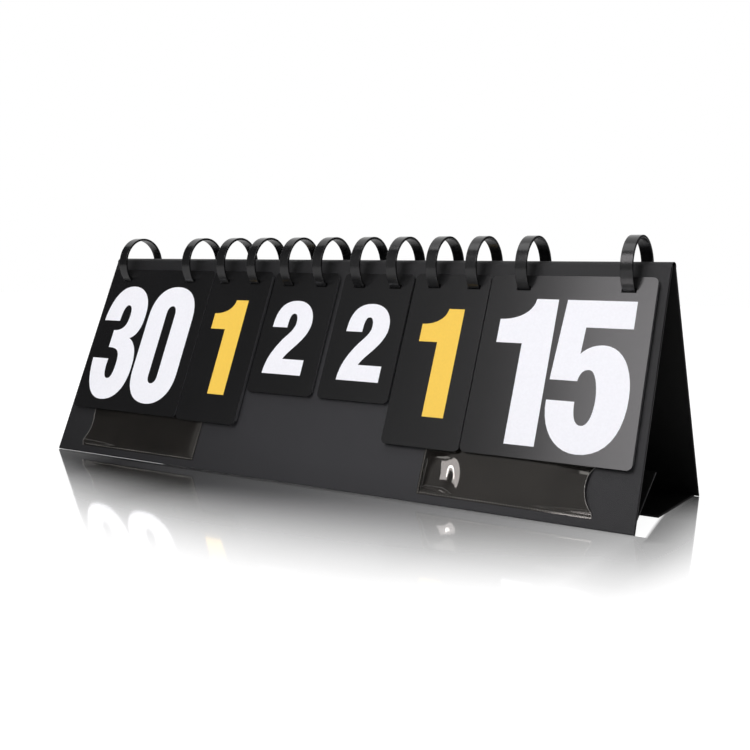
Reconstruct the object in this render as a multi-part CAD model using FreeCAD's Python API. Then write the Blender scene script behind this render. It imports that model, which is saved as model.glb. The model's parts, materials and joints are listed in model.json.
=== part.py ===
import FreeCAD, Part
import math
import os

# Tabletop flip scoreboard: a tent of two covered boards under twelve flat rings, which carry six
# decks of number leaves. Millimetres. The origin is on the table under the middle of the ridge,
# +X runs along the board to the viewer's right, -Y faces the viewer and +Z is up.

Vector = FreeCAD.Vector
Rotation = FreeCAD.Rotation
Placement = FreeCAD.Placement

# ---------------------------------------------------------------- driving dimensions
board_length = 600.0          # length of the tent along X
board_height = 208.0          # height of each board, measured down its slope
base_depth = 167.0            # front edge to rear edge on the table
board_core = 2.0              # grey board inside each panel
cover_sheet = 0.25            # leatherette over it, and the lining sheet inside
cover_round = 0.8             # rounding of the wrapped edges
closed_gap = 7.0              # room between the folded boards, for the flaps and tapes
ridge_above_axis = 1.2        # board top edge above the fold axis, measured along the slope

flap_core = 1.5               # thinner grey board in the two flaps
flap_gap = 0.3                # a folded flap stands this far off the lining
flap_end_gap = 0.9            # from the crease axis to the flap's near end
flap_end_margin = 3.0         # flap ends stay this far inside the tent's ends
base_flap_reach = 97.0        # crease to free edge
front_flap_reach = 64.0
front_flap_lift = 33.5        # degrees above the table, as it stands at rest
crease_bead = 0.55            # radius of the flexible bead that the flap turns about
crease_web = 0.4              # sheet that joins the bead to the board

strap_width = 10.2            # ring strap, along X
strap_thick = 2.2
ring_radius = 26.5            # outside radius, about the fold axis
link_span = 50.0              # degrees of the ring that its closing link takes
lap_span = 9.0                # degrees of half-lap at each end of the link
slot_side_gap = 1.0           # slot past each edge of the strap
slot_face_gap = 0.6           # slot past the strap's faces

leaf_thick = 0.6
leaf_gap = 0.16               # air between two leaves
leaf_round = 4.5
leaf_drop = 13.0              # leaf's top edge below the board's top edge
front_stack_lift = 1.2        # first front leaf off the cover, clear of the pockets
rear_stack_lift = 0.3

pocket_sheet = 0.3
pocket_depth = 0.6            # room for a name card
pocket_weld = 2.5             # width of the welded seams
pocket_inner = 120.0          # distance of the welded end from the middle
pocket_outer = 267.0          # distance of the open end
pocket_top = 156.0            # down the slope from the board's top edge
pocket_bottom = 201.0
notch_radius = 27.0
notch_depth = 7.5

spine_sheet = 0.5
spine_gap = 0.25              # spine sheet over the boards' top corners
spine_crown = 1.3             # rise of the arched sheet from its edges to its middle
spine_rib = 1.0               # glued seam under it

tape_width = 20.0             # hook-and-loop tape
tape_length = 80.0
tape_thick = 1.1
tape_spacing = 200.0
tape_edge = 3.0               # tape back from the flap's free edge

# leaf centre, leaf width, leaf length, middle of the two rings, ring spacing
# The centres are the guest's, on the right of the middle: the home decks mirror them.
deck_sizes = {
    "score": (223.0, 140.0, 150.8, 226.9, 88.2),
    "sets": (115.7, 72.4, 151.7, 118.2, 38.2),
    "fouls": (39.8, 73.0, 118.3, 40.0, 38.0),
}
waiting_count = {"score": 4, "sets": 4, "fouls": 2}
turned_count = {"home_score": 5, "guest_score": 4, "home_sets": 1, "guest_sets": 1,
                 "home_fouls": 2, "guest_fouls": 2}

# ---------------------------------------------------------------- worked-out sizes
board_thick = board_core + 2 * cover_sheet
flap_thick = flap_core + 2 * cover_sheet
face_depth = closed_gap / 2 + board_thick        # outer face from the fold axis
lining_depth = closed_gap / 2
board_top = ridge_above_axis
board_foot = ridge_above_axis - board_height

arm = math.hypot(board_foot, face_depth)
lean = math.asin(base_depth / 2 / arm) - math.atan2(face_depth, -board_foot)
lean_degrees = math.degrees(lean)
axis_height = -board_foot * math.cos(lean) - lining_depth * math.sin(lean)
# the wrapped edge is rounded, so the tent sits down by what the rounding takes off
rounding_drop = cover_round * (math.cos(lean) + math.sin(lean) - 1)
axis_height -= rounding_drop
fold_range = 2 * lean_degrees

crease_depth = lining_depth - flap_gap - flap_thick / 2
crease_rise = flap_thick / 2
crease_foot = -(axis_height + crease_depth * math.sin(lean) - crease_rise) / math.cos(lean)

strap_inner = ring_radius - strap_thick
strap_middle = ring_radius - strap_thick / 2
leaf_pitch = leaf_thick + leaf_gap


def across(radius, depth):
    """Distance down the slope at which a circle about the fold axis crosses this depth."""
    return math.sqrt(radius ** 2 - depth ** 2)


# ---------------------------------------------------------------- frames
# A panel is drawn flat: X along the tent, Y up its slope from the fold axis, Z out of its face.
# The rear panel is the front one turned half a turn about Z, so its X runs the other way.
FRONT = Placement(Vector(0, 0, axis_height), Rotation(Vector(1, 0, 0), 90 - lean_degrees))
HALF_TURN = Placement(Vector(0, 0, 0), Rotation(Vector(0, 0, 1), 180))
REAR = HALF_TURN.multiply(FRONT)


def placed(shape, place):
    moved = shape.copy()
    moved.Placement = place.multiply(moved.Placement)
    return moved


def block(x0, x1, y0, y1, z0, z1):
    return Part.makeBox(x1 - x0, y1 - y0, z1 - z0, Vector(x0, y0, z0))


def trimmed_plate(x0, x1, y0, y1, z0, z1, trim, rounded):
    """Flat plate with its four corners rounded, or clipped straight where it lies hidden."""
    plate = block(x0, x1, y0, y1, z0, z1)
    corners = [e for e in plate.Edges if abs(e.tangentAt(e.FirstParameter).z) > 0.99]
    return plate.makeFillet(trim, corners) if rounded else plate.makeChamfer(trim, corners)


def joined(solids):
    return solids[0] if len(solids) == 1 else Part.makeCompound(solids)


# ---------------------------------------------------------------- ring slots
def ring_slot(x, nearest, deepest, z0, z1):
    """Cutter for one punched ring slot that the strap crosses between two depths."""
    low = across(ring_radius, nearest) + slot_face_gap
    high = across(strap_inner, deepest) - slot_face_gap
    half = strap_width / 2 + slot_side_gap
    return block(x - half, x + half, -low, -high, z0, z1)


def ring_places():
    """X of all twelve rings."""
    places = []
    for centre, width, length, middle, spacing in deck_sizes.values():
        for side in (-1, 1):
            places += [side * middle - spacing / 2, side * middle + spacing / 2]
    return places


def slotted(shape):
    """Cut all twelve ring slots through a board's sheet."""
    cutters = [ring_slot(x, lining_depth, face_depth, lining_depth - 1, face_depth + 1)
               for x in ring_places()]
    return shape.cut(Part.makeCompound(cutters))


# ---------------------------------------------------------------- covered panels
def panel(x0, x1, y0, y1, z_in, z_out):
    """Core, wrapped cover and lining of one covered board whose outer face looks along +Z."""
    t = cover_sheet
    core = block(x0 + t, x1 - t, y0 + t, y1 - t, z_in + t, z_out - t)
    outside = block(x0, x1, y0, y1, z_in, z_out)
    long_edges = [e for e in outside.Edges if abs(e.tangentAt(e.FirstParameter).z) < 0.01]
    outside = outside.makeFillet(cover_round, long_edges)
    pocket = block(x0 + t, x1 - t, y0 + t, y1 - t, z_in - 1, z_out - t)
    lining = outside.common(block(x0 + t, x1 - t, y0 + t, y1 - t, z_in, z_in + t))
    return core, outside.cut(pocket), lining


def board_parts():
    half = board_length / 2
    return [slotted(s) for s in panel(-half, half, board_foot, board_top, lining_depth, face_depth)]


def flap_parts(reach):
    """A flap lying in its own frame: crease along X at the origin, flap towards +Y."""
    half = board_length / 2 - flap_end_margin
    return panel(-half, half, flap_end_gap, reach, -flap_thick / 2, flap_thick / 2)


def crease():
    """Bead and web of the flexible joint, in the panel's frame."""
    half = board_length / 2 - flap_end_margin
    bead = Part.makeCylinder(crease_bead, 2 * half, Vector(-half, crease_foot, crease_depth),
                             Vector(1, 0, 0))
    web = block(-half, half, crease_foot - crease_web / 2, crease_foot + crease_web / 2,
                crease_depth, lining_depth)
    return bead.fuse(web).removeSplitter()


def tapes(reach, side):
    """Three pieces of tape on one face of a flap, near its free edge."""
    z0 = flap_thick / 2 if side > 0 else -flap_thick / 2 - tape_thick
    y1 = reach - tape_edge
    return [block(x - tape_length / 2, x + tape_length / 2, y1 - tape_width, y1, z0, z0 + tape_thick)
            for x in (-tape_spacing, 0, tape_spacing)]


# ---------------------------------------------------------------- spine and pockets
def crowned(reach, height):
    """Arc across the ridge that starts and ends at this height and rises by the crown."""
    x = -board_length / 2
    return Part.Arc(Vector(x, -reach, height), Vector(x, 0, height + spine_crown),
                    Vector(x, reach, height)).toShape()


def between(upper, lower):
    """Solid along the whole ridge between two lines across it."""
    front, rear = [Part.makeLine(upper.Vertexes[k].Point, lower.Vertexes[k].Point) for k in (0, 1)]
    outline = Part.Wire([upper, rear, lower, front])
    return Part.Face(outline).extrude(Vector(board_length, 0, 0))


def spine():
    """Arched sheet over the ridge, with the glued rib that holds it on the front board's edge."""
    half = board_length / 2
    corner_up = (board_top - cover_round) * math.cos(lean) + (face_depth - cover_round) * math.sin(lean)
    underside = axis_height + corner_up + cover_round + spine_gap
    reach = face_depth * math.cos(lean) - board_top * math.sin(lean)
    sheet = between(crowned(reach, underside + spine_sheet), crowned(reach, underside))
    rib_depth = (lining_depth + face_depth) / 2
    rib = placed(block(-half, half, board_top, board_top + face_depth,
                       rib_depth - spine_rib / 2, rib_depth + spine_rib / 2), FRONT)
    ground = Part.makeLine(Vector(-half, -reach, 0), Vector(-half, reach, 0))
    under_sheet = between(crowned(reach, underside + spine_sheet / 2), ground)
    return sheet.fuse(rib.common(under_sheet)).removeSplitter()


def name_pocket(side):
    """Clear pocket for a name card, open at its outer end, in the front panel's frame."""
    y0, y1 = board_top - pocket_bottom, board_top - pocket_top
    x0, x1 = pocket_inner, pocket_outer
    z0, z1 = face_depth, face_depth + pocket_depth + pocket_sheet
    body = block(x0, x1, y0, y1, z0, z1)
    room = block(x0 + pocket_weld, x1 + 1, y0 + pocket_weld, y1 - pocket_weld, z0 - 1,
                 z0 + pocket_depth)
    notch_middle = Vector(x1 + notch_radius - notch_depth, (y0 + y1) / 2, 0)
    film = body.cut(room).cut(Part.makeCylinder(notch_radius, 2 * z1, notch_middle))
    return film if side > 0 else film.mirror(Vector(0, 0, 0), Vector(1, 0, 0))


# ---------------------------------------------------------------- decks
def leaf(deck, side, z0, nearest, deepest, rounded=True):
    """One number leaf with its two slots, lying in a panel's frame."""
    centre, width, length, middle, spacing = deck_sizes[deck]
    y1 = board_top - leaf_drop
    plate = trimmed_plate(side * centre - width / 2, side * centre + width / 2,
                          y1 - length, y1, z0, z0 + leaf_thick, leaf_round, rounded)
    cutters = [ring_slot(x, nearest, deepest, z0 - 1, z0 + leaf_thick + 1)
               for x in (side * middle - spacing / 2, side * middle + spacing / 2)]
    return plate.cut(Part.makeCompound(cutters))


def stack(deck, side, count, lift, covered):
    """Leaves that lie still: the front ones wait their turn, the rear ones have had it.

    The first leaves, as many as covered, lie behind another and have clipped corners.
    """
    z0 = face_depth + lift
    z1 = z0 + count * leaf_pitch
    return [leaf(deck, side, z0 + k * leaf_pitch, z0, z1, k >= covered) for k in range(count)]


def shown_leaf(deck, side):
    """The leaf on top of the front stack, which shows the number."""
    z0 = face_depth + front_stack_lift + waiting_count[deck] * leaf_pitch
    return leaf(deck, side, z0, z0, z0 + leaf_thick)


# ---------------------------------------------------------------- rings
def band(x, inner, outer, start, span):
    """Stretch of a flat hoop about the fold axis, from start degrees above +Y."""
    x0 = x - strap_width / 2
    centre = Vector(x0, 0, axis_height)
    disc = Part.makeCylinder(outer, strap_width, centre, Vector(1, 0, 0), span)
    hoop = disc.cut(Part.makeCylinder(inner, strap_width, centre, Vector(1, 0, 0)))
    # FreeCAD starts a cylinder along +X from straight up
    hoop.rotate(centre, Vector(1, 0, 0), start - 90)
    return hoop


def ring_arch(x):
    """The long part of a ring: it runs over the ridge and ends inside the tent in two half-laps."""
    first, last = 270 - link_span / 2, 270 + link_span / 2
    arch = band(x, strap_inner, ring_radius, last, 360 - link_span)
    for start in (first, last - lap_span):
        arch = arch.fuse(band(x, strap_middle, ring_radius, start, lap_span))
    return arch.removeSplitter()


def ring_link(x):
    """The short part, which closes the ring inside the tent."""
    first, last = 270 - link_span / 2, 270 + link_span / 2
    link = band(x, strap_inner, ring_radius, first + lap_span, link_span - 2 * lap_span)
    for start in (first, last - lap_span):
        link = link.fuse(band(x, strap_inner, strap_middle, start, lap_span))
    return link.removeSplitter()


# ---------------------------------------------------------------- the whole object
def flap_place(turn, side):
    """Where a flap lies: its crease on the panel's crease line, its cover face underneath."""
    flat = Rotation(Vector(1, 0, 0), 180)
    face_in = Rotation(Vector(0, 0, 1), 0 if side > 0 else 180)
    lifted = Rotation(Vector(1, 0, 0), turn)
    y = side * (crease_depth * math.cos(lean) - crease_foot * math.sin(lean))
    return Placement(Vector(0, y, crease_rise), lifted.multiply(face_in).multiply(flat))


def build():
    nodes = {}
    for name, place in (("front_board", FRONT), ("rear_board", REAR)):
        core, cover, lining = board_parts()
        nodes[name + "_core"] = placed(core, place)
        nodes[name + "_cover"] = placed(cover, place)
        nodes[name + "_lining"] = placed(lining, place)
    nodes["spine_strip"] = spine()
    nodes["front_flap_crease"] = placed(crease(), FRONT)
    nodes["base_flap_crease"] = placed(crease(), REAR)

    flaps = (("front_flap", front_flap_reach, flap_place(front_flap_lift, -1)),
             ("base_flap", base_flap_reach, flap_place(0, 1)))
    for name, reach, place in flaps:
        core, cover, lining = flap_parts(reach)
        nodes[name + "_core"] = placed(core, place)
        nodes[name + "_cover"] = placed(cover, place)
        nodes[name + "_lining"] = placed(lining, place)
    nodes["hook_tapes"] = placed(Part.makeCompound(tapes(front_flap_reach, 1)), flaps[0][2])
    nodes["loop_tapes"] = placed(Part.makeCompound(tapes(base_flap_reach, -1)), flaps[1][2])

    for team, side in (("home", -1), ("guest", 1)):
        nodes[team + "_name_pocket"] = placed(name_pocket(side), FRONT)
        for deck, (centre, width, length, middle, spacing) in deck_sizes.items():
            name = team + "_" + deck
            ahead, behind = waiting_count[deck], turned_count[name]
            waiting = stack(deck, side, ahead, front_stack_lift, ahead)
            turned = stack(deck, -side, behind, rear_stack_lift, behind - 1)
            nodes[name + "_leaf"] = placed(shown_leaf(deck, side), FRONT)
            nodes[name + "_leaves_waiting"] = placed(joined(waiting), FRONT)
            nodes[name + "_leaves_turned"] = placed(joined(turned), REAR)
            places = [side * middle - spacing / 2, side * middle + spacing / 2]
            nodes[name + "_rings"] = Part.makeCompound([ring_arch(x) for x in places])
            nodes[name + "_ring_links"] = Part.makeCompound([ring_link(x) for x in places])
    return nodes


os.makedirs("parts", exist_ok=True)
for node, shape in build().items():
    shape.exportStep("parts/" + node + ".step")
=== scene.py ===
import json
import math

import bmesh
import bpy
from mathutils import Matrix, Vector, noise

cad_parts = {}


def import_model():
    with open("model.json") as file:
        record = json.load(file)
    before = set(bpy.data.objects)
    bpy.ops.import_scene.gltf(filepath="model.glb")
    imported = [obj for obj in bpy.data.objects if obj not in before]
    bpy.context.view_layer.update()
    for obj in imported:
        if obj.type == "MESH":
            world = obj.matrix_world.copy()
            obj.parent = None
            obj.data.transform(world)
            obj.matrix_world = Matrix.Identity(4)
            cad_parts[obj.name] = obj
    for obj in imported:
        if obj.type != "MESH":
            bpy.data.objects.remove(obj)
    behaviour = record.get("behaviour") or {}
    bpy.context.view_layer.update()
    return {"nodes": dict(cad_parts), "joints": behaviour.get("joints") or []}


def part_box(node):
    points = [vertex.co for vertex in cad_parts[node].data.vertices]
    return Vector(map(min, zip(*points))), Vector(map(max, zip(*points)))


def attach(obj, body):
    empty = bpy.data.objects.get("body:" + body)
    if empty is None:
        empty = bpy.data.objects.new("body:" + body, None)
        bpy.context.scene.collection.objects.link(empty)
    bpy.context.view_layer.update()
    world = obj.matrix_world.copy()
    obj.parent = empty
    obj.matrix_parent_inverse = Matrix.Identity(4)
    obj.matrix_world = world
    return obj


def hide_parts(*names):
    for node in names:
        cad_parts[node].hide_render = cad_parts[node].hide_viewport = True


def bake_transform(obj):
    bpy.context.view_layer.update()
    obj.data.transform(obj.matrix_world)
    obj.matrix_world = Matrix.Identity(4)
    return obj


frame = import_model()

# Looks of a tabletop flip scoreboard. Shapes are drawn in millimetres in a panel's own frame, as
# the CAD source draws them: x along the tent, y up the slope from the fold axis, z out of the
# outer face. FRONT and REAR bring them into the frame, in metres.

MM = 0.001
JOINTS = {joint["name"]: joint for joint in frame["joints"]}
AXIS_HEIGHT = JOINTS["tent_fold"]["pos_m"][2]
LEAN = math.radians(22.1417)   # each board's slope from upright, at rest

# ---------------------------------------------------------------- sizes of the solids, in mm
BOARD_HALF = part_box("front_board_cover")[1].x / MM
BOARD_TOP = 1.2                # the boards' top edge, up the slope from the fold axis
FACE = 6.0                     # outer face of a board from the fold axis
STRAP_WIDTH = 10.2
STRAP_RADII = (24.3, 25.4, 26.5)   # inside, middle of the half-laps, outside
STRAP_EDGE = 0.9               # rounding of a strap's edges
STRAP_EDGE_STEPS = 3
BOTTOM = 270.0                 # straight down from the fold axis, in degrees like the next three
LINK_SPAN = 50.0               # closing link, with its laps
LAP_SPAN = 9.0
RING_STEP = 3.0                # between the strap's stations
LEAF_THICK = 0.6
LEAF_PITCH = 0.76
FRONT_LIFT = 1.2               # lowest leaf over the front board's face
REAR_LIFT = 0.3                # and over the rear board's
POCKET_X = (120.0, 267.0)      # welded end and open end, from the middle
POCKET_T = (156.0, 201.0)      # top and bottom, down from the board's top edge

# leaf's middle from the tent's, rings' middle, ring spacing, leaves waiting under the shown one
DECKS = {
    "score": (223.0, 226.9, 88.2, 4),
    "sets": (115.7, 118.2, 38.2, 4),
    "fouls": (39.8, 40.0, 38.0, 2),
}
# leaves turned over to the rear board
TURNED = {"home_score": 5, "guest_score": 4, "home_sets": 1, "guest_sets": 1,
          "home_fouls": 2, "guest_fouls": 2}
TEAMS = {"home": -1, "guest": 1}           # side of the tent along x

FRONT = (Matrix.Translation((0, 0, AXIS_HEIGHT))
         @ Matrix.Rotation(math.radians(90) - LEAN, 4, "X") @ Matrix.Scale(MM, 4))
REAR = Matrix.Rotation(math.radians(180), 4, "Z") @ FRONT
FACING_IN = Matrix.Rotation(math.radians(180), 4, "Y")     # turns a print over to a leaf's back


# ---------------------------------------------------------------- node helpers
class Nodes:
    """Short way to write a node tree."""

    def __init__(self, name):
        self.material = bpy.data.materials.new(name)
        self.material.use_nodes = True
        self.tree = self.material.node_tree
        self.shader = self.tree.nodes["Principled BSDF"]
        self.place = self.add("ShaderNodeTexCoord").outputs["Object"]

    def add(self, kind, **settings):
        node = self.tree.nodes.new(kind)
        for key, value in settings.items():
            setattr(node, key, value)
        return node

    def link(self, source, target):
        self.tree.links.new(source, target)

    def put(self, value, target):
        """A constant, or another node's output, into a socket."""
        if isinstance(value, bpy.types.NodeSocket):
            self.link(value, target)
        else:
            target.default_value = value

    def noise(self, scale, detail=3.0, roughness=0.5, stretch=(1, 1, 1)):
        node = self.add("ShaderNodeTexNoise")
        node.inputs["Scale"].default_value = scale
        node.inputs["Detail"].default_value = detail
        node.inputs["Roughness"].default_value = roughness
        mapping = self.add("ShaderNodeMapping")
        mapping.inputs["Scale"].default_value = stretch
        self.link(self.place, mapping.inputs["Vector"])
        self.link(mapping.outputs["Vector"], node.inputs["Vector"])
        return node.outputs["Fac"]

    def cells(self, scale, feature="DISTANCE_TO_EDGE"):
        node = self.add("ShaderNodeTexVoronoi", feature=feature)
        node.inputs["Scale"].default_value = scale
        self.link(self.place, node.inputs["Vector"])
        return node.outputs["Distance"]

    def ramp(self, source, low, high, out_low, out_high, kind="LINEAR"):
        node = self.add("ShaderNodeMapRange", interpolation_type=kind)
        for socket, value in zip(("From Min", "From Max", "To Min", "To Max"),
                                 (low, high, out_low, out_high)):
            self.put(value, node.inputs[socket])
        self.link(source, node.inputs["Value"])
        return node.outputs["Result"]

    def fade(self, away, start, end):
        """1 up to the start, 0 past the end, smooth between."""
        return self.ramp(away, start, end, 1.0, 0.0, "SMOOTHSTEP")

    def stops(self, source, low, high, rows):
        """Colour ramp from low to high. A row is a place and one or three values there."""
        node = self.add("ShaderNodeValToRGB")
        elements = node.color_ramp.elements
        while len(elements) < len(rows):
            elements.new(0.5)
        for element, (place, *values) in zip(elements, rows):
            element.position = (place - low) / (high - low)
            element.color = (*(values * 3)[:3], 1)
        self.link(self.ramp(source, low, high, 0, 1), node.inputs["Fac"])
        return node.outputs["Color"]

    def colours(self, factor, first, second):
        node = self.add("ShaderNodeMix", data_type="RGBA")
        for name, value in (("A", first), ("B", second)):
            self.put((*value, 1) if isinstance(value, tuple) else value, node.inputs[name])
        self.link(factor, node.inputs["Factor"])
        return node.outputs["Result"]

    def math(self, operation, first, second=0):
        node = self.add("ShaderNodeMath", operation=operation)
        self.put(first, node.inputs[0])
        self.put(second, node.inputs[1])
        return node.outputs["Value"]

    def vector(self, operation, first, second=(0, 0, 0)):
        node = self.add("ShaderNodeVectorMath", operation=operation)
        self.put(first, node.inputs[0])
        self.put(second, node.inputs[1])
        return node.outputs["Value" if operation == "LENGTH" else "Vector"]

    def split(self, source):
        node = self.add("ShaderNodeSeparateXYZ")
        self.link(source, node.inputs["Vector"])
        return node.outputs

    def mix(self, factor, first, second):
        """Mix of two shaders."""
        node = self.add("ShaderNodeMixShader")
        for socket, value in zip(node.inputs, (factor, first, second)):
            self.put(value, socket)
        return node.outputs["Shader"]

    def bump(self, height, distance, strength=1.0):
        node = self.add("ShaderNodeBump")
        node.inputs["Distance"].default_value = distance
        node.inputs["Strength"].default_value = strength
        self.link(height, node.inputs["Height"])
        self.link(node.outputs["Normal"], self.shader.inputs["Normal"])

    def set(self, **values):
        """Constant values on the shader's own sockets; an underscore stands for a space."""
        for key, value in values.items():
            self.shader.inputs[key.replace("_", " ")].default_value = value

    def drive(self, socket, source):
        self.link(source, self.shader.inputs[socket])


# ---------------------------------------------------------------- materials
PAINTED_POOL_AT = (0.04, 0.0, 0.06)         # middle of a pool of light painted on the covers, in metres
PAINTED_POOL_REACH = (0.34, 1.0, 0.115)     # and how far from there it is gone
LEAF_EDGE_HIGHLIGHT = (0.09, 0.09, 0.095)        # cut edge of a leaf, painted pale as a highlight line


def leatherette(name, dark, light, rough, grain, painted_pool_share=0.0):
    """Grained vinyl cloth: pebbles with creases between them, slow changes of tone, and a
    paler patch low in the middle, which is a painted pool of light."""
    m = Nodes(name)
    pebbles = m.cells(1100)
    fine = m.noise(2600, 2)
    slow = m.noise(9, 3)
    tone = m.math("ADD", m.math("MULTIPLY", slow, 0.75), m.math("MULTIPLY", fine, 0.25))
    # painted pool of light: the tone is paler towards a point low in the middle of the covers
    away = m.vector("DIVIDE", m.vector("SUBTRACT", m.place, PAINTED_POOL_AT), PAINTED_POOL_REACH)
    painted_pool = m.math("MULTIPLY", m.ramp(m.vector("LENGTH", away), 0.35, 1.0, 1, 0), painted_pool_share)
    grain_tone = m.math("MULTIPLY", m.ramp(tone, 0.3, 0.7, 0, 1), 1 - painted_pool_share)
    m.drive("Base Color", m.colours(m.math("ADD", grain_tone, painted_pool), dark, light))
    m.drive("Roughness", m.ramp(fine, 0.3, 0.7, rough - 0.05, rough + 0.07))
    m.set(Specular_IOR_Level=0.36)
    height = m.math("ADD", m.ramp(pebbles, 0, 0.3, 0, 1), m.math("MULTIPLY", fine, 0.5))
    m.bump(height, grain)
    return m.material


def grey_board():
    """Recycled grey board, fibrous and specked, for the cores of the panels."""
    m = Nodes("grey_board")
    fibres = m.noise(900, 4, 0.6, (1, 1, 6))
    specks = m.noise(3000, 1)
    tone = m.math("ADD", m.math("MULTIPLY", fibres, 0.7), m.math("MULTIPLY", specks, 0.3))
    m.drive("Base Color", m.colours(m.ramp(tone, 0.35, 0.65, 0, 1),
                                    (0.22, 0.21, 0.19), (0.38, 0.365, 0.335)))
    m.set(Roughness=0.9, Specular_IOR_Level=0.2)
    m.bump(fibres, 0.0001)
    return m.material


def leaf_plastic():
    """Satin black sheet with a faint rolled texture, the odd scuff and cut edges painted pale as
    a highlight.
    """
    m = Nodes("leaf_plastic")
    facing = m.split(m.add("ShaderNodeTexCoord").outputs["Normal"])
    # painted highlight: the cut edges facing along x take the pale edge colour
    edge = m.ramp(m.math("ABSOLUTE", facing["X"]), 0.6, 0.9, 0, 1)
    slow = m.noise(14, 2)
    skin = m.noise(1500, 2, 0.5, (1, 1, 0.4))
    scuffs = m.noise(60, 5, 0.75, (1, 6, 6))
    face = m.colours(m.ramp(slow, 0.3, 0.7, 0, 1),
                     (0.0055, 0.0055, 0.006), (0.0075, 0.0075, 0.008))
    m.drive("Base Color", m.colours(edge, face, LEAF_EDGE_HIGHLIGHT))
    rough = m.math("ADD", m.ramp(skin, 0.3, 0.7, 0.20, 0.22), m.ramp(scuffs, 0.55, 0.8, 0, 0.05))
    m.drive("Roughness", rough)
    m.set(Specular_IOR_Level=0.5)
    m.bump(skin, 0.000002)
    return m.material


def moulded_black():
    """Satin nylon of the rings, with an uneven moulded skin and edges painted lighter as a
    highlight.
    """
    m = Nodes("moulded_black")
    skin = m.noise(700, 3, 0.6)
    slow = m.noise(60, 3)
    edges = m.add("ShaderNodeNewGeometry").outputs["Pointiness"]
    # painted highlight: the sharpest convex edges are coloured lighter
    painted_edge_highlight = m.ramp(edges, 0.52, 0.6, 0, 1)
    m.drive("Base Color", m.colours(painted_edge_highlight, (0.005, 0.005, 0.0055), (0.02, 0.02, 0.021)))
    m.drive("Roughness", m.math("ADD", m.ramp(slow, 0.3, 0.7, 0.12, 0.20),
                                m.math("MULTIPLY", skin, 0.06)))
    m.set(Specular_IOR_Level=0.5)
    m.bump(skin, 0.00006)
    return m.material


def ink(name, colour):
    """Screen-printed ink: an even film with a faint mottle."""
    m = Nodes(name)
    mottle = m.noise(500, 3)
    shade = tuple(0.965 * c for c in colour)
    m.drive("Base Color", m.colours(m.ramp(mottle, 0.35, 0.65, 0, 1), shade, colour))
    m.drive("Roughness", m.ramp(mottle, 0.3, 0.7, 0.36, 0.44))
    m.set(Specular_IOR_Level=0.25)
    m.bump(mottle, 0.000004)
    return m.material


def clear_film(name, haze_and_highlight_low, haze_and_highlight_high, opacity):
    """Clear vinyl over black cloth: faint warm haze, scratches and a hard gloss."""
    m = Nodes(name)
    haze = m.noise(30, 4, 0.6)
    scratches = m.noise(160, 3, 0.7, (0.25, 3, 3))
    # for the weld pips and the film's lip these colours are pale: a painted highlight
    m.drive("Base Color", m.colours(m.ramp(haze, 0.3, 0.7, 0, 1), haze_and_highlight_low, haze_and_highlight_high))
    m.drive("Roughness", m.ramp(scratches, 0.45, 0.75, 0.05, 0.12))
    m.drive("Alpha", m.ramp(haze, 0.3, 0.7, opacity - 0.05, opacity + 0.05))
    m.set(IOR=1.58, Specular_IOR_Level=0.8, Specular_Tint=(1.0, 0.95, 0.89, 1),
          Coat_Weight=0.3, Coat_Roughness=0.04)
    return m.material


def hook_tape():
    """Stiff shiny hooks on a black ground."""
    m = Nodes("hook_tape")
    hooks = m.cells(900, "F1")
    m.drive("Base Color", m.colours(m.ramp(hooks, 0.1, 0.6, 0, 1),
                                    (0.03, 0.03, 0.032), (0.006, 0.006, 0.006)))
    m.drive("Roughness", m.ramp(hooks, 0, 0.6, 0.35, 0.7))
    m.bump(m.ramp(hooks, 0, 0.6, 1, 0), 0.0005)
    return m.material


def loop_tape():
    """Matt brushed loops."""
    m = Nodes("loop_tape")
    fuzz = m.noise(1600, 5, 0.8)
    tufts = m.noise(350, 3, 0.6)
    m.drive("Base Color", m.colours(m.ramp(fuzz, 0.3, 0.7, 0, 1),
                                    (0.006, 0.006, 0.006), (0.035, 0.035, 0.037)))
    m.set(Roughness=0.95, Specular_IOR_Level=0.15, Sheen_Weight=0.3)
    m.bump(m.math("ADD", fuzz, tufts), 0.0006)
    return m.material


# the last value is how much of the cover's tone the painted pool of light takes
COVER = leatherette("cover_leatherette", (0.006, 0.006, 0.007), (0.026, 0.026, 0.0295),
                    0.5, 0.00005, 0.75)
LINING = leatherette("lining_leatherette", (0.003, 0.003, 0.003), (0.005, 0.005, 0.005),
                     0.6, 0.00003)
BOARD = grey_board()
LEAF = leaf_plastic()
RING = moulded_black()
WHITE = ink("white_ink", (0.92, 0.925, 0.97))
YELLOW = ink("yellow_ink", (0.95, 0.62, 0.09))
FILM = clear_film("clear_film", (0.007, 0.0062, 0.0053), (0.013, 0.0114, 0.0098), 0.72)
# pale weld pips: a painted highlight along the welds
FILM_WELD_HIGHLIGHT = clear_film("film_weld_highlight", (0.09, 0.086, 0.08), (0.16, 0.152, 0.142), 0.85)
# pale lip along the film's open end: a painted highlight
FILM_EDGE_HIGHLIGHT = clear_film("film_edge_highlight", (0.10, 0.098, 0.094), (0.16, 0.156, 0.15), 0.9)
HOOKS = hook_tape()
LOOPS = loop_tape()


def finish_cad_nodes():
    """Gives each carried-over CAD node its procedural material."""
    finishes = (("_core", BOARD), ("_cover", COVER), ("_crease", COVER), ("_lining", LINING),
                ("_leaf", LEAF), ("_leaves_waiting", LEAF), ("_leaves_turned", LEAF),
                ("hook_tapes", HOOKS), ("loop_tapes", LOOPS), ("_rings", RING),
                ("_ring_links", RING), ("_pocket", FILM), ("spine_strip", COVER))
    for name, node in frame["nodes"].items():
        material = next(m for ending, m in finishes if name.endswith(ending))
        node.data.materials.clear()
        node.data.materials.append(material)


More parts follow.
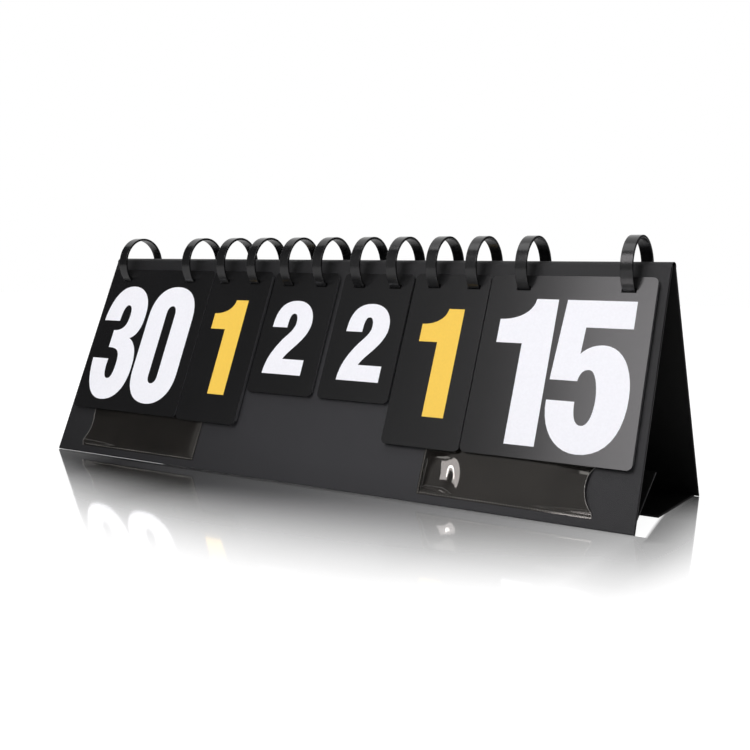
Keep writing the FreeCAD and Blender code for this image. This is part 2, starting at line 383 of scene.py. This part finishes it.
# ---------------------------------------------------------------- mesh helpers
def make_piece(name, bm, place, material, sharp):
    """Object from a bmesh, brought into the frame by place. Edges sharper than so many degrees
    stay hard."""
    bm.transform(place)
    bmesh.ops.recalc_face_normals(bm, faces=bm.faces)
    mesh = bpy.data.meshes.new(name)
    bm.to_mesh(mesh)
    bm.free()
    mesh.shade_smooth()
    mesh.set_sharp_from_angle(angle=math.radians(sharp))
    mesh.materials.append(material)
    piece = bpy.data.objects.new(name, mesh)
    bpy.context.scene.collection.objects.link(piece)
    return piece


def strips(bm, rows, closed=False):
    """Quads between neighbouring rows of vertices."""
    for first, second in zip(rows, rows[1:]):
        pairs = list(zip(first, first[1:] + first[:1] if closed else first[1:],
                         second[1:] + second[:1] if closed else second[1:], second))
        for quad in pairs[:len(first) if closed else len(first) - 1]:
            bm.faces.new(quad)


# ---------------------------------------------------------------- rings
def add_hoop(bm, x, spans):
    """Closed stretch of flat hoop about the fold axis. A span is a start and end in degrees, and
    the lowest and highest of the strap's radii that it fills."""
    stops = sorted({angle for span in spans for angle in span[:2]})
    stations = []
    for start, end in zip(stops, stops[1:]):
        count = max(1, round((end - start) / RING_STEP))
        stations += [start + (end - start) * k / count for k in range(count)]
    stations.append(stops[-1])
    filled = {(i, layer) for start, end, low, high in spans for layer in range(low, high)
              for i in range(len(stations) - 1) if start <= stations[i] < end}
    made = {}

    def corner(i, level, side):
        if (i, level, side) not in made:
            angle, radius = math.radians(stations[i]), STRAP_RADII[level]
            made[i, level, side] = bm.verts.new(
                (x + side * STRAP_WIDTH / 2, radius * math.cos(angle), radius * math.sin(angle)))
        return made[i, level, side]

    for i, layer in filled:
        for side in (-1, 1):
            bm.faces.new([corner(i, layer, side), corner(i + 1, layer, side),
                          corner(i + 1, layer + 1, side), corner(i, layer + 1, side)])
        for step, level in ((-1, layer), (1, layer + 1)):
            if (i, layer + step) not in filled:
                bm.faces.new([corner(i, level, -1), corner(i, level, 1),
                              corner(i + 1, level, 1), corner(i + 1, level, -1)])
        for step, station in ((-1, i), (1, i + 1)):
            if (i + step, layer) not in filled:
                bm.faces.new([corner(station, layer, -1), corner(station, layer, 1),
                              corner(station, layer + 1, 1), corner(station, layer + 1, -1)])


def soften(piece):
    """Rounded edges, with the flat faces kept flat."""
    bevel = piece.modifiers.new("rounding", "BEVEL")
    bevel.width = STRAP_EDGE * MM
    bevel.segments = STRAP_EDGE_STEPS
    bevel.limit_method = "ANGLE"
    bevel.angle_limit = math.radians(50)
    bevel.harden_normals = True


def rings(name, team, deck):
    """Two ring straps and the links that close them inside the tent."""
    side, (_, middle, spacing, _) = TEAMS[team], DECKS[deck]
    first, last = BOTTOM - LINK_SPAN / 2, BOTTOM + LINK_SPAN / 2
    arch = [(last, first + 360, 0, 2), (last - LAP_SPAN, last, 1, 2),
            (first + 360, first + 360 + LAP_SPAN, 1, 2)]
    link = [(first + LAP_SPAN, last - LAP_SPAN, 0, 2), (first, first + LAP_SPAN, 0, 1),
            (last - LAP_SPAN, last, 0, 1)]
    about_axis = Matrix.Translation((0, 0, AXIS_HEIGHT)) @ Matrix.Scale(MM, 4)
    for kind, node, spans in (("ring_straps", "rings", arch),
                              ("closing_links", "ring_links", link)):
        bm = bmesh.new()
        for x in (side * middle - spacing / 2, side * middle + spacing / 2):
            add_hoop(bm, x, spans)
        piece = make_piece(f"{name}_{kind}", bm, about_axis, RING, 60)
        soften(piece)
        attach(piece, f"{name}_ring_pair")
        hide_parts(f"{name}_{node}")


# ---------------------------------------------------------------- numerals
# Outlines of a bold condensed face of our own drawing, 1000 units to the cap height. A contour is
# a start point and then lines (x, y) or curves (handle, handle, end).
GLYPHS = {
    "0": [
        [(0, 730), (0, 913, 98, 1009, 241, 1009), (389, 1009, 493, 922, 493, 730), (493, 263),
         (493, 88, 381, -9, 246, -9), (81, -9, 0, 97, 0, 263)],
        [(193, 763), (193, 230), (193, 188, 210, 163, 242, 163), (272, 163, 291, 188, 291, 230),
         (291, 755), (291, 805, 274, 837, 242, 837), (210, 837, 193, 813, 193, 763)],
    ],
    "1": [
        [(241, 1000), (397, 1000), (397, 0), (187, 0), (187, 683), (0, 683), (0, 849),
         (136, 849, 233, 910, 241, 1000)],
    ],
    "2": [
        [(3, 629), (3, 827, 64, 1001, 310, 1001), (494, 1001, 612, 880, 612, 704),
         (612, 476, 336, 327, 288, 204), (627, 204), (627, 0), (16, 0),
         (20, 222, 143, 380, 231, 485), (310, 564, 370, 625, 370, 704),
         (370, 783, 345, 823, 304, 823), (248, 823, 239, 748, 238, 629)],
    ],
    "3": [
        [(2, 685), (9, 837, 69, 1004, 235, 1004), (376, 1004, 461, 903, 465, 770), (465, 720),
         (461, 612, 417, 554, 357, 536), (426, 505, 480, 430, 480, 297), (480, 264),
         (476, 106, 393, -9, 235, -9), (85, -9, 15, 131, 1, 344), (185, 344),
         (177, 256, 189, 173, 235, 173), (280, 173, 292, 222, 292, 314),
         (292, 430, 239, 445, 148, 445), (148, 598), (243, 598, 288, 637, 288, 737),
         (288, 795, 272, 830, 237, 830), (198, 830, 186, 770, 184, 685)],
    ],
    "5": [
        [(37, 1000), (507, 1000), (507, 813), (193, 813), (183, 633),
         (223, 676, 273, 697, 331, 697), (460, 697, 540, 555, 540, 364),
         (540, 122, 435, -20, 256, -20), (102, -20, 0, 122, 3, 314), (194, 314),
         (196, 222, 212, 163, 259, 163), (310, 163, 329, 255, 329, 339),
         (325, 439, 300, 529, 259, 529), (219, 529, 198, 501, 191, 450), (3, 450)],
    ],
    "6": [
        [(485, 734), (293, 734), (293, 797, 277, 837, 242, 837), (206, 837, 193, 805, 193, 747),
         (193, 597), (222, 634, 260, 647, 306, 647), (431, 647, 493, 563, 493, 430), (493, 247),
         (493, 88, 381, -9, 246, -9), (81, -9, 0, 97, 0, 263), (0, 730),
         (0, 913, 98, 1009, 241, 1009), (389, 1009, 485, 922, 485, 734)],
        [(193, 430), (193, 230), (193, 188, 210, 163, 242, 163), (272, 163, 291, 188, 291, 230),
         (291, 430), (291, 472, 274, 497, 242, 497), (210, 497, 193, 472, 193, 430)],
    ],
}
UNITS = 1000
DIGIT_GAP = 26                 # units between two digits
CURVE_STEPS = 10               # straight lines in each curve of an outline
SAME_POINT = 0.01              # units; points of an outline closer than this are one
INK_THICK = 0.03
INK_LIFT = 0.01                # ink clear of the leaf's face

# number shown, the next one, cap height, the number's middle from the leaf's middle, and its top
# edge below the board's top edge, in mm
NUMBERS = {
    "home_score": ("30", "31", 120.5, -2.9, 32.4),
    "home_sets": ("1", "2", 94.4, -3.7, 43.3),
    "home_fouls": ("2", "3", 71.6, -2.8, 41.3),
    "guest_fouls": ("2", "3", 71.6, 0.8, 41.9),
    "guest_sets": ("1", "2", 94.4, -1.5, 44.6),
    "guest_score": ("15", "16", 120.5, 2.3, 33.4),
}


def add_contour(curve, contour, shift):
    """Closed Bezier spline. A line's handles are at its thirds."""
    ends = [Vector(segment[-2:]) for segment in contour]
    handles = []
    for k, end in enumerate(ends):
        before = ends[k - 1]
        segment = contour[k]
        if len(segment) == 6:
            handles.append((Vector(segment[0:2]), Vector(segment[2:4])))
        else:
            handles.append((before.lerp(end, 1 / 3), before.lerp(end, 2 / 3)))
    spline = curve.splines.new("BEZIER")
    spline.bezier_points.add(len(ends) - 1)
    spline.use_cyclic_u = True
    for k, point in enumerate(spline.bezier_points):
        following = handles[(k + 1) % len(ends)]
        point.co = (ends[k].x + shift, ends[k].y, 0)
        point.handle_left = (handles[k][1].x + shift, handles[k][1].y, 0)
        point.handle_right = (following[0].x + shift, following[0].y, 0)


def glyph_width(digit):
    return max(segment[-2] for segment in GLYPHS[digit][0])


def print_number(name, text, height, x, y, z, place, body, material):
    """A number as a thin film of ink, centred on x with its cap line at y."""
    curve = bpy.data.curves.new(name, "CURVE")
    curve.dimensions = "2D"
    curve.fill_mode = "BOTH"
    curve.resolution_u = CURVE_STEPS
    scale = height / UNITS
    curve.extrude = INK_THICK / 2 / scale
    total = sum(glyph_width(d) for d in text) + DIGIT_GAP * (len(text) - 1)
    shift = -total / 2
    for digit in text:
        for contour in GLYPHS[digit]:
            add_contour(curve, contour, shift)
        shift += glyph_width(digit) + DIGIT_GAP
    holder = bpy.data.objects.new(name + "_outline", curve)
    mesh = bpy.data.meshes.new_from_object(holder)
    bpy.data.objects.remove(holder)
    bpy.data.curves.remove(curve)
    bm = bmesh.new()
    bm.from_mesh(mesh)
    bpy.data.meshes.remove(mesh)
    bmesh.ops.remove_doubles(bm, verts=bm.verts, dist=SAME_POINT)
    centre = z + INK_LIFT + INK_THICK / 2
    drawn = Matrix.Translation((x, y - height, centre)) @ Matrix.Scale(scale, 4)
    piece = make_piece(name, bm, place @ drawn, material, 30)
    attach(piece, body)
    return piece


def numbers(name, team, deck):
    """The shown number, the next one on the leaf's back and on the leaf under it, and the same
    number as the shown one on top of the turned leaves, for the viewer behind."""
    side, (centre, _, _, waiting) = TEAMS[team], DECKS[deck]
    now, following, height, offset, top = NUMBERS[name]
    material = YELLOW if deck == "sets" else WHITE
    y = BOARD_TOP - top
    under = FACE + FRONT_LIFT + (waiting - 1) * LEAF_PITCH + LEAF_THICK
    shown = under - LEAF_THICK + LEAF_PITCH
    turned = FACE + REAR_LIFT + (TURNED[name] - 1) * LEAF_PITCH + LEAF_THICK
    x = side * centre
    print_number(f"{name}_number", now, height, x + offset, y, shown + LEAF_THICK,
                 FRONT, f"{name}_leaf", material)
    print_number(f"{name}_number_on_back", following, height, -x, y, -shown,
                 FRONT @ FACING_IN, f"{name}_leaf", material)
    print_number(f"{name}_next_number", following, height, x, y, under,
                 FRONT, "front_board", material)
    print_number(f"{name}_rear_number", now, height, -x, y, turned, REAR, "rear_board", material)


# ---------------------------------------------------------------- spine
SPINE_OVERLAP = 2.5            # skin lies this far down each board's face
SPINE_START = 0.7              # and leaves it this far below the top edge
SPINE_PULL = 3.6               # how far the bend keeps to the board's slope
SPINE_THICK = 0.35
SPINE_PROUD = 0.04             # skin clear of the boards' faces
SPINE_STEPS = 14               # over the bend
SPINE_COLUMNS = 60             # along the tent


def spine_profile():
    """Outer line of the skin, from the front face over the ridge to the rear face, in (y, z)."""
    def in_world(y, z):
        point = FRONT @ Vector((0, y, z))
        return Vector((point.y, point.z)) / MM

    low = in_world(BOARD_TOP - SPINE_OVERLAP, FACE + SPINE_PROUD)
    start = in_world(BOARD_TOP - SPINE_START, FACE + SPINE_PROUD)
    pull = in_world(BOARD_TOP - SPINE_START + SPINE_PULL, FACE + SPINE_PROUD)
    mirrored = [Vector((-p.x, p.y)) for p in (pull, start, low)]
    bend = [start, pull, mirrored[0], mirrored[1]]
    points = [low]
    for k in range(SPINE_STEPS + 1):
        t = k / SPINE_STEPS
        weights = ((1 - t) ** 3, 3 * t * (1 - t) ** 2, 3 * t * t * (1 - t), t ** 3)
        points.append(sum((w * p for w, p in zip(weights, bend)), Vector((0, 0))))
    points.append(mirrored[2])
    return points


def spine():
    """Leatherette skin that joins the two boards over the ridge."""
    outer = spine_profile()
    inner = []
    for k, point in enumerate(outer):
        before, after = outer[max(k - 1, 0)], outer[min(k + 1, len(outer) - 1)]
        along = (after - before).normalized()
        inner.append(point + SPINE_THICK * Vector((along.y, -along.x)))
    loop = outer + inner[::-1]
    bm = bmesh.new()
    columns = []
    for k in range(SPINE_COLUMNS + 1):
        x = BOARD_HALF * (2 * k / SPINE_COLUMNS - 1)
        columns.append([bm.verts.new((x, p.x, p.y)) for p in loop])
    strips(bm, columns, closed=True)
    bm.faces.new(columns[0])
    bm.faces.new(columns[-1])
    piece = make_piece("spine_skin", bm, Matrix.Scale(MM, 4), COVER, 50)
    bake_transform(piece)
    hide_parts("spine_strip")


# ---------------------------------------------------------------- name pockets
FILM_THICK = 0.25
FILM_LIFT = 0.05               # welded film over the cover
FILM_SEAM = 2.5                # width of the welds
FILM_FREE = 0.55               # ordinary height of the film over the cover
FILM_RISE = 2.0                # how soon it has left a weld
FILM_COLUMNS, FILM_ROWS = 150, 50
WAVE = (0.22, 21, 30, 3.7)     # slow waves of the film: height, lengths along x and y, place
LEAF_REACH = 8.5               # the leaves hang over this much of the pocket's upper part
LEAF_CLEAR = 6.0               # and the film comes free of them over this much more
PUCKER = (15.0, 29.0, 15.0, 18.5)      # middle from the welded end and the top, half sizes
PUCKER_EDGE = 1.8              # how flat its top and how steep its sides are
PUCKER_HEIGHTS = {"home": 0.25, "guest": 3.4}
MOUTH_GAPE = 2.6               # the open end stands off by this much more
MOUTH_LENGTH = 62.0            # and starts to do so this far in
MOUTH_CURVE = 1.5
NOTCH_DEPTH = 7.5
NOTCH_RADIUS = 27.0
LIP_RADIUS = 0.40              # round bead along the open end
LIP_SIDES = 8
PIP_PITCH = 2.3                # embossed pips of the welds
PIP_SIZE = (0.85, 0.55, 0.45)
PIP_TILT = 28.0                # most that a pip leans, in degrees, each its own way


def film_height(u, top, width, height, puckered):
    """Height of the film over the cover, at u from the welded end and so far below the top."""
    bottom = height - top
    sides = min(u, top, bottom)
    tent = 1 - math.exp(-max(0.0, sides - FILM_SEAM) / FILM_RISE)
    below_leaves = min(1.0, max(0.0, (top - LEAF_REACH) / LEAF_CLEAR))
    du, dv = (u - PUCKER[0]) / PUCKER[2], (top - PUCKER[1]) / PUCKER[3]
    pucker = puckered * math.exp(-(du * du + dv * dv) ** PUCKER_EDGE)
    gape = MOUTH_GAPE * max(0.0, (u - width + MOUTH_LENGTH) / MOUTH_LENGTH) ** MOUTH_CURVE
    wave = WAVE[0] * noise.noise(Vector((u / WAVE[1], top / WAVE[2], WAVE[3])))
    return tent * (FILM_FREE + below_leaves * (pucker + gape + wave))


def mouth(y, middle):
    """Place of the pocket's open end at this height: a thumb notch cuts into it."""
    notch = NOTCH_RADIUS ** 2 - (y - middle) ** 2
    if notch > (NOTCH_RADIUS - NOTCH_DEPTH) ** 2:
        return POCKET_X[1] + NOTCH_RADIUS - NOTCH_DEPTH - math.sqrt(notch)
    return POCKET_X[1]


def add_lip(bm, path):
    """Round bead along the film's open end."""
    rows = []
    angles = [math.tau * i / LIP_SIDES for i in range(LIP_SIDES)]
    for k, point in enumerate(path):
        along = (path[min(k + 1, len(path) - 1)] - path[max(k - 1, 0)]).normalized()
        across = along.cross(Vector((0, 0, 1))).normalized()
        up = across.cross(along)
        rows.append([bm.verts.new(point + LIP_RADIUS * (math.cos(a) * across + math.sin(a) * up))
                     for a in angles])
    strips(bm, rows, closed=True)
    bm.faces.new(rows[0])
    bm.faces.new(rows[-1])


def pocket(team, side):
    """Clear name pocket: welded at its inner end, top and bottom, with a thumb notch."""
    low, high = BOARD_TOP - POCKET_T[1], BOARD_TOP - POCKET_T[0]
    width, height = POCKET_X[1] - POCKET_X[0], high - low
    bm = bmesh.new()
    grid = []
    for i in range(FILM_COLUMNS + 1):
        column = []
        for j in range(FILM_ROWS + 1):
            y = low + height * j / FILM_ROWS
            x = POCKET_X[0] + (mouth(y, (low + high) / 2) - POCKET_X[0]) * i / FILM_COLUMNS
            lift = film_height(x - POCKET_X[0], high - y, width, height, PUCKER_HEIGHTS[team])
            column.append(Vector((side * x, y, FACE + FILM_LIFT + lift)))
        grid.append(column)
    thick = Vector((0, 0, FILM_THICK))
    under = [[bm.verts.new(p) for p in column] for column in grid]
    over = [[bm.verts.new(p + thick) for p in column] for column in grid]
    strips(bm, under)
    strips(bm, over)
    for first, second in ((under[0], over[0]), (under[-1], over[-1]),
                          ([c[0] for c in under], [c[0] for c in over]),
                          ([c[-1] for c in under], [c[-1] for c in over])):
        strips(bm, [first, second])
    piece = make_piece(f"{team}_pocket_film", bm, FRONT, FILM, 50)
    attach(piece, "front_board")
    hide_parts(f"{team}_name_pocket")
    bm = bmesh.new()
    add_lip(bm, [p + thick / 2 for p in grid[-1]])
    # the lip's pale colour is a painted highlight
    lip = make_piece(f"{team}_pocket_lip", bm, FRONT, FILM_EDGE_HIGHLIGHT, 60)
    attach(lip, "front_board")
    pocket_welds(team, side, low, high)


def pocket_welds(team, side, low, high):
    """Rows of embossed pips along the welded end and bottom of a pocket, painted pale as a
    highlight.
    """
    bm = bmesh.new()
    inset = FILM_SEAM / 2
    film_top = FACE + FILM_LIFT + FILM_THICK
    across = int((POCKET_X[1] - POCKET_X[0] - 2 * inset) / PIP_PITCH)
    upward = int((high - low - 2 * inset) / PIP_PITCH)
    places = [(POCKET_X[0] + inset + k * PIP_PITCH, low + inset, 0) for k in range(1, across)]
    places += [(POCKET_X[0] + inset, low + inset + k * PIP_PITCH, 90) for k in range(upward)]
    for x, y, turn in places:
        tilt = math.radians(PIP_TILT) * noise.noise(Vector((x, y, 1.3)))
        at = (Matrix.Translation((side * x, y, film_top))
              @ Matrix.Rotation(math.radians(turn), 4, "Z")
              @ Matrix.Rotation(tilt, 4, "X") @ Matrix.Diagonal((*PIP_SIZE, 1)))
        bmesh.ops.create_uvsphere(bm, u_segments=8, v_segments=6, radius=1, matrix=at)
    piece = make_piece(f"{team}_pocket_weld", bm, FRONT, FILM_WELD_HIGHLIGHT, 180)
    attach(piece, "front_board")


# ---------------------------------------------------------------- camera and studio
IMAGE_SIDE = 750.0             # pixels
FOCAL_PIXELS = 1033.56
CENTRE_ROW = 284.92            # picture row that the camera looks straight at
SENSOR = 36.0
CAMERA_AT = (0.5359, -0.79582, 0.18243)        # metres
CAMERA_TURN = 32.6386          # about the vertical, in degrees like the next two
CAMERA_DIP = 0.602             # below the level
CAMERA_ROLL = 0.8586


def camera():
    data = bpy.data.cameras.new("camera")
    data.sensor_width = SENSOR
    data.lens = FOCAL_PIXELS / IMAGE_SIDE * SENSOR
    data.shift_y = (CENTRE_ROW - IMAGE_SIDE / 2) / IMAGE_SIDE
    cam = bpy.data.objects.new("camera", data)
    bpy.context.scene.collection.objects.link(cam)
    turn = (Matrix.Rotation(math.radians(CAMERA_TURN), 4, "Z")
            @ Matrix.Rotation(math.radians(90 - CAMERA_DIP), 4, "X")
            @ Matrix.Rotation(math.radians(CAMERA_ROLL), 4, "Z"))
    cam.matrix_world = Matrix.Translation(CAMERA_AT) @ turn
    bpy.context.scene.camera = cam


WORLD_LIGHT = 0.54             # the white world's strength for the light that falls on things


def world():
    """White background, full for camera, glossy and transmission rays and lower for the rest."""
    studio = bpy.data.worlds.new("studio")
    studio.use_nodes = True
    tree = studio.node_tree
    rays = tree.nodes.new("ShaderNodeLightPath").outputs
    direct = rays["Is Camera Ray"]
    for name in ("Is Glossy Ray", "Is Transmission Ray"):
        larger = tree.nodes.new("ShaderNodeMath")
        larger.operation = "MAXIMUM"
        tree.links.new(direct, larger.inputs[0])
        tree.links.new(rays[name], larger.inputs[1])
        direct = larger.outputs["Value"]
    level = tree.nodes.new("ShaderNodeMapRange")
    level.inputs["To Min"].default_value = WORLD_LIGHT
    level.inputs["To Max"].default_value = 1.0
    tree.links.new(direct, level.inputs["Value"])
    tree.nodes["Background"].inputs["Color"].default_value = (1, 1, 1, 1)
    tree.links.new(level.outputs["Result"], tree.nodes["Background"].inputs["Strength"])
    bpy.context.scene.world = studio


# name, place, target, width and height, all in metres, then watts and colour
LIGHTS = (
    ("key", (-0.085, -1.40, 1.12), (0.05, -0.03, 0.1), (0.71, 0.84), 7.8, (1.0, 0.965, 0.99)),
    ("top", (-0.2, -0.5, 2.0), (0, 0, 0.1), (1.6, 1.0), 6.4, (1, 1, 1)),
    ("strip", (0.17, -1.45, 1.12), (0.1, 0, 0.1), (0.07, 0.55), 2.3, (1, 1, 1)),
)


def area_light(name, place, target, sides, power, colour):
    data = bpy.data.lights.new(name, "AREA")
    data.shape = "RECTANGLE"
    data.size, data.size_y = sides
    data.energy = power
    data.color = colour
    light = bpy.data.objects.new(name, data)
    bpy.context.scene.collection.objects.link(light)
    light.location = place
    light.rotation_euler = (Vector(target) - Vector(place)).to_track_quat("-Z", "Y").to_euler()


# The floor's mirror in front of the front foot, along the tent: place in metres, its share at
# the foot, how far out it keeps that share, and how far out it is gone.
FOOT_MIRROR = ((-0.30, 0.92, 0.01, 0.165), (-0.20, 1.0, 0.03, 0.220), (-0.08, 0.98, 0.040, 0.275),
               (0.02, 0.95, 0.02, 0.300), (0.12, 0.89, 0.0, 0.310), (0.20, 0.82, 0.0, 0.290),
               (0.27, 0.72, 0.0, 0.250), (0.30, 0.66, 0.0, 0.220), (0.33, 0.80, 0.0, 0.240))
MIRROR_REACH = 0.33            # the places lie within this of the tent's middle
END_FADE = (0.0, 0.095)        # how the front mirror fades beyond the tent's ends
FOOT_Y = 0.081                 # where the mirror starts, just under each foot
FLAP_EDGE = -0.014             # free edge of the base flap
FLAP_SLANT = 0.15              # the side mirror's near limit runs outwards by this much
FLAP_CLEAR = 0.0105            # and at most this far
FLAP_BLUR = (-0.001, 0.002)    # about that limit
SIDE_SHARES = (0.80, 0.98)     # at the flap's free edge and at the rear foot
SIDE_FADE = (0.0, 0.095)       # away from the tent's ends
CORNER_FADE = (0.0, 0.08)      # and past both feet
REAR_SHARE = 0.35
MIRROR_ROUGHNESS = 0.06
FLOOR_WHITE = 0.9
FLOOR_SHADOW = 0.4             # share of the floor's light that the object can shade
FLOOR_GLOW = 1.5               # strength of the rest
FLOOR_AT = (6, -0.0002)        # half its side, and its height: just under the object
CLEAR_SHEET_AT = (2, -0.0001)


def mirror_strength(m):
    """The floor mirrors what stands on it, strongest at the front foot and at the base flap."""
    x, y, _ = m.split(m.place)
    along = m.stops(x, -MIRROR_REACH, MIRROR_REACH, FOOT_MIRROR)
    parts = m.add("ShaderNodeSeparateColor")
    m.link(along, parts.inputs["Color"])
    share, start, end = parts.outputs
    ahead = m.math("SUBTRACT", m.math("MULTIPLY", y, -1), FOOT_Y)
    front = m.math("MULTIPLY", share, m.fade(ahead, start, end))
    front = m.math("MULTIPLY", front, m.math("GREATER_THAN", ahead, 0))
    beyond = m.math("SUBTRACT", m.math("ABSOLUTE", x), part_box("base_flap_cover")[1].x)
    front = m.math("MULTIPLY", front, m.fade(beyond, *END_FADE))
    slant = m.math("MULTIPLY", m.math("SUBTRACT", FLAP_EDGE, y), FLAP_SLANT)
    slant = m.math("MINIMUM", slant, FLAP_CLEAR)
    clear = m.ramp(m.math("SUBTRACT", beyond, slant), *FLAP_BLUR, 0, 1)
    away = m.fade(beyond, *SIDE_FADE)
    side = m.math("MULTIPLY", clear, m.ramp(y, FLAP_EDGE, FOOT_Y, *SIDE_SHARES))
    side = m.math("MULTIPLY", away, side)
    rear = m.math("MULTIPLY", m.math("GREATER_THAN", y, FOOT_Y), REAR_SHARE)
    side = m.math("MAXIMUM", side, m.math("MULTIPLY", rear, away))
    past_foot = m.fade(m.math("SUBTRACT", m.math("ABSOLUTE", y), FOOT_Y), *CORNER_FADE)
    return m.math("MAXIMUM", front, m.math("MULTIPLY", side, past_foot))


def flat_sheet(name, half, height, material):
    bm = bmesh.new()
    bmesh.ops.create_grid(bm, x_segments=1, y_segments=1, size=half)
    return make_piece(name, bm, Matrix.Translation((0, 0, height)), material, 40)


def floor():
    """White table top that mirrors the object near its feet and its ends. The glow is only for
    rays from the camera."""
    m = Nodes("floor")
    own = m.shader.outputs["BSDF"]
    m.set(Base_Color=(FLOOR_WHITE, FLOOR_WHITE, FLOOR_WHITE, 1), Roughness=0.6,
          Specular_IOR_Level=0.1)
    glow = m.add("ShaderNodeEmission")
    glow.inputs["Strength"].default_value = FLOOR_GLOW
    mirror = m.add("ShaderNodeBsdfGlossy")
    mirror.inputs["Roughness"].default_value = MIRROR_ROUGHNESS
    mirror.inputs["Color"].default_value = (1, 1, 1, 1)
    mirror = mirror.outputs["BSDF"]
    rays = m.add("ShaderNodeLightPath").outputs
    share = mirror_strength(m)
    lit = m.mix(1 - FLOOR_SHADOW, own, glow.outputs["Emission"])
    plain = m.mix(m.math("MULTIPLY", share, rays["Is Glossy Ray"]), own, mirror)
    seen = m.mix(rays["Is Camera Ray"], plain, m.mix(share, lit, mirror))
    m.link(seen, m.tree.nodes["Material Output"].inputs["Surface"])
    surface = flat_sheet("floor", *FLOOR_AT, m.material)


# Tone of the screen that the front reflects: place along X in metres and strength.
SCREEN_TONES = ((-2.2, 0.06), (-1.78, 0.07), (-1.6, 0.12), (-1.4, 0.25), (-1.2, 0.42),
                (-0.2, 0.42), (0.6, 0.10), (2.2, 0.03))
SCREEN_ANGLES = (-180, 86)     # degrees from straight in front, towards the tent's left
SCREEN_PROFILE = ((2.2, -0.3), (2.2, 2.0), (2.05, 2.9), (1.6, 3.6), (0.9, 4.0),
                  (0.02, 4.1))         # radius and height of its rows, in metres
SCREEN_OVERHEAD = (2.7, 3.5, 1.0, 0.5)     # two heights, and the share of its tone at each
SCREEN_STEPS = 60
RAYS = ("camera", "diffuse", "glossy", "transmission", "shadow", "volume_scatter")


def seen_only_by(kind, piece):
    for ray in RAYS:
        setattr(piece, "visible_" + ray, ray == kind)


def screen():
    """Dark curved studio screen round the front, closed over the top, seen only in reflections.
    The floor's own mirror, which is looked at through one clear sheet, sees it as white."""
    m = Nodes("screen")
    m.set(Base_Color=(0, 0, 0, 1), Roughness=1.0, Specular_IOR_Level=0.0, Emission_Strength=1.0)
    x, _, z = m.split(m.place)
    tones = m.stops(x, SCREEN_TONES[0][0], SCREEN_TONES[-1][0], SCREEN_TONES)
    path = m.add("ShaderNodeLightPath").outputs
    by_floor = m.math("MULTIPLY", m.math("COMPARE", path["Transparent Depth"], 1),
                      m.math("LESS_THAN", path["Ray Depth"], 1.5))
    tone = m.math("MULTIPLY", tones, m.ramp(z, *SCREEN_OVERHEAD))
    m.drive("Emission Color", m.math("MAXIMUM", tone, by_floor))
    bm = bmesh.new()
    rows = []
    first, last = SCREEN_ANGLES
    for k in range(SCREEN_STEPS + 1):
        angle = math.radians(first + (last - first) * k / SCREEN_STEPS)
        rows.append([bm.verts.new((-r * math.sin(angle), -r * math.cos(angle), z))
                     for r, z in SCREEN_PROFILE])
    strips(bm, rows)
    card = make_piece("screen", bm, Matrix.Identity(4), m.material, 40)
    seen_only_by("glossy", card)


def clear_sheet():
    """Clear sheet just over the floor, seen only by the camera: it marks the floor's mirror."""
    m = Nodes("clear_sheet")
    clear = m.add("ShaderNodeBsdfTransparent")
    m.link(clear.outputs["BSDF"], m.tree.nodes["Material Output"].inputs["Surface"])
    sheet = flat_sheet("clear_sheet", *CLEAR_SHEET_AT, m.material)
    seen_only_by("camera", sheet)


def studio():
    bpy.context.scene.view_settings.view_transform = "Standard"
    camera()
    world()
    floor()
    screen()
    clear_sheet()
    for light in LIGHTS:
        area_light(*light)


# ---------------------------------------------------------------- everything
finish_cad_nodes()
for team, side in TEAMS.items():
    for deck in DECKS:
        rings(f"{team}_{deck}", team, deck)
        numbers(f"{team}_{deck}", team, deck)
    pocket(team, side)
spine()
studio()
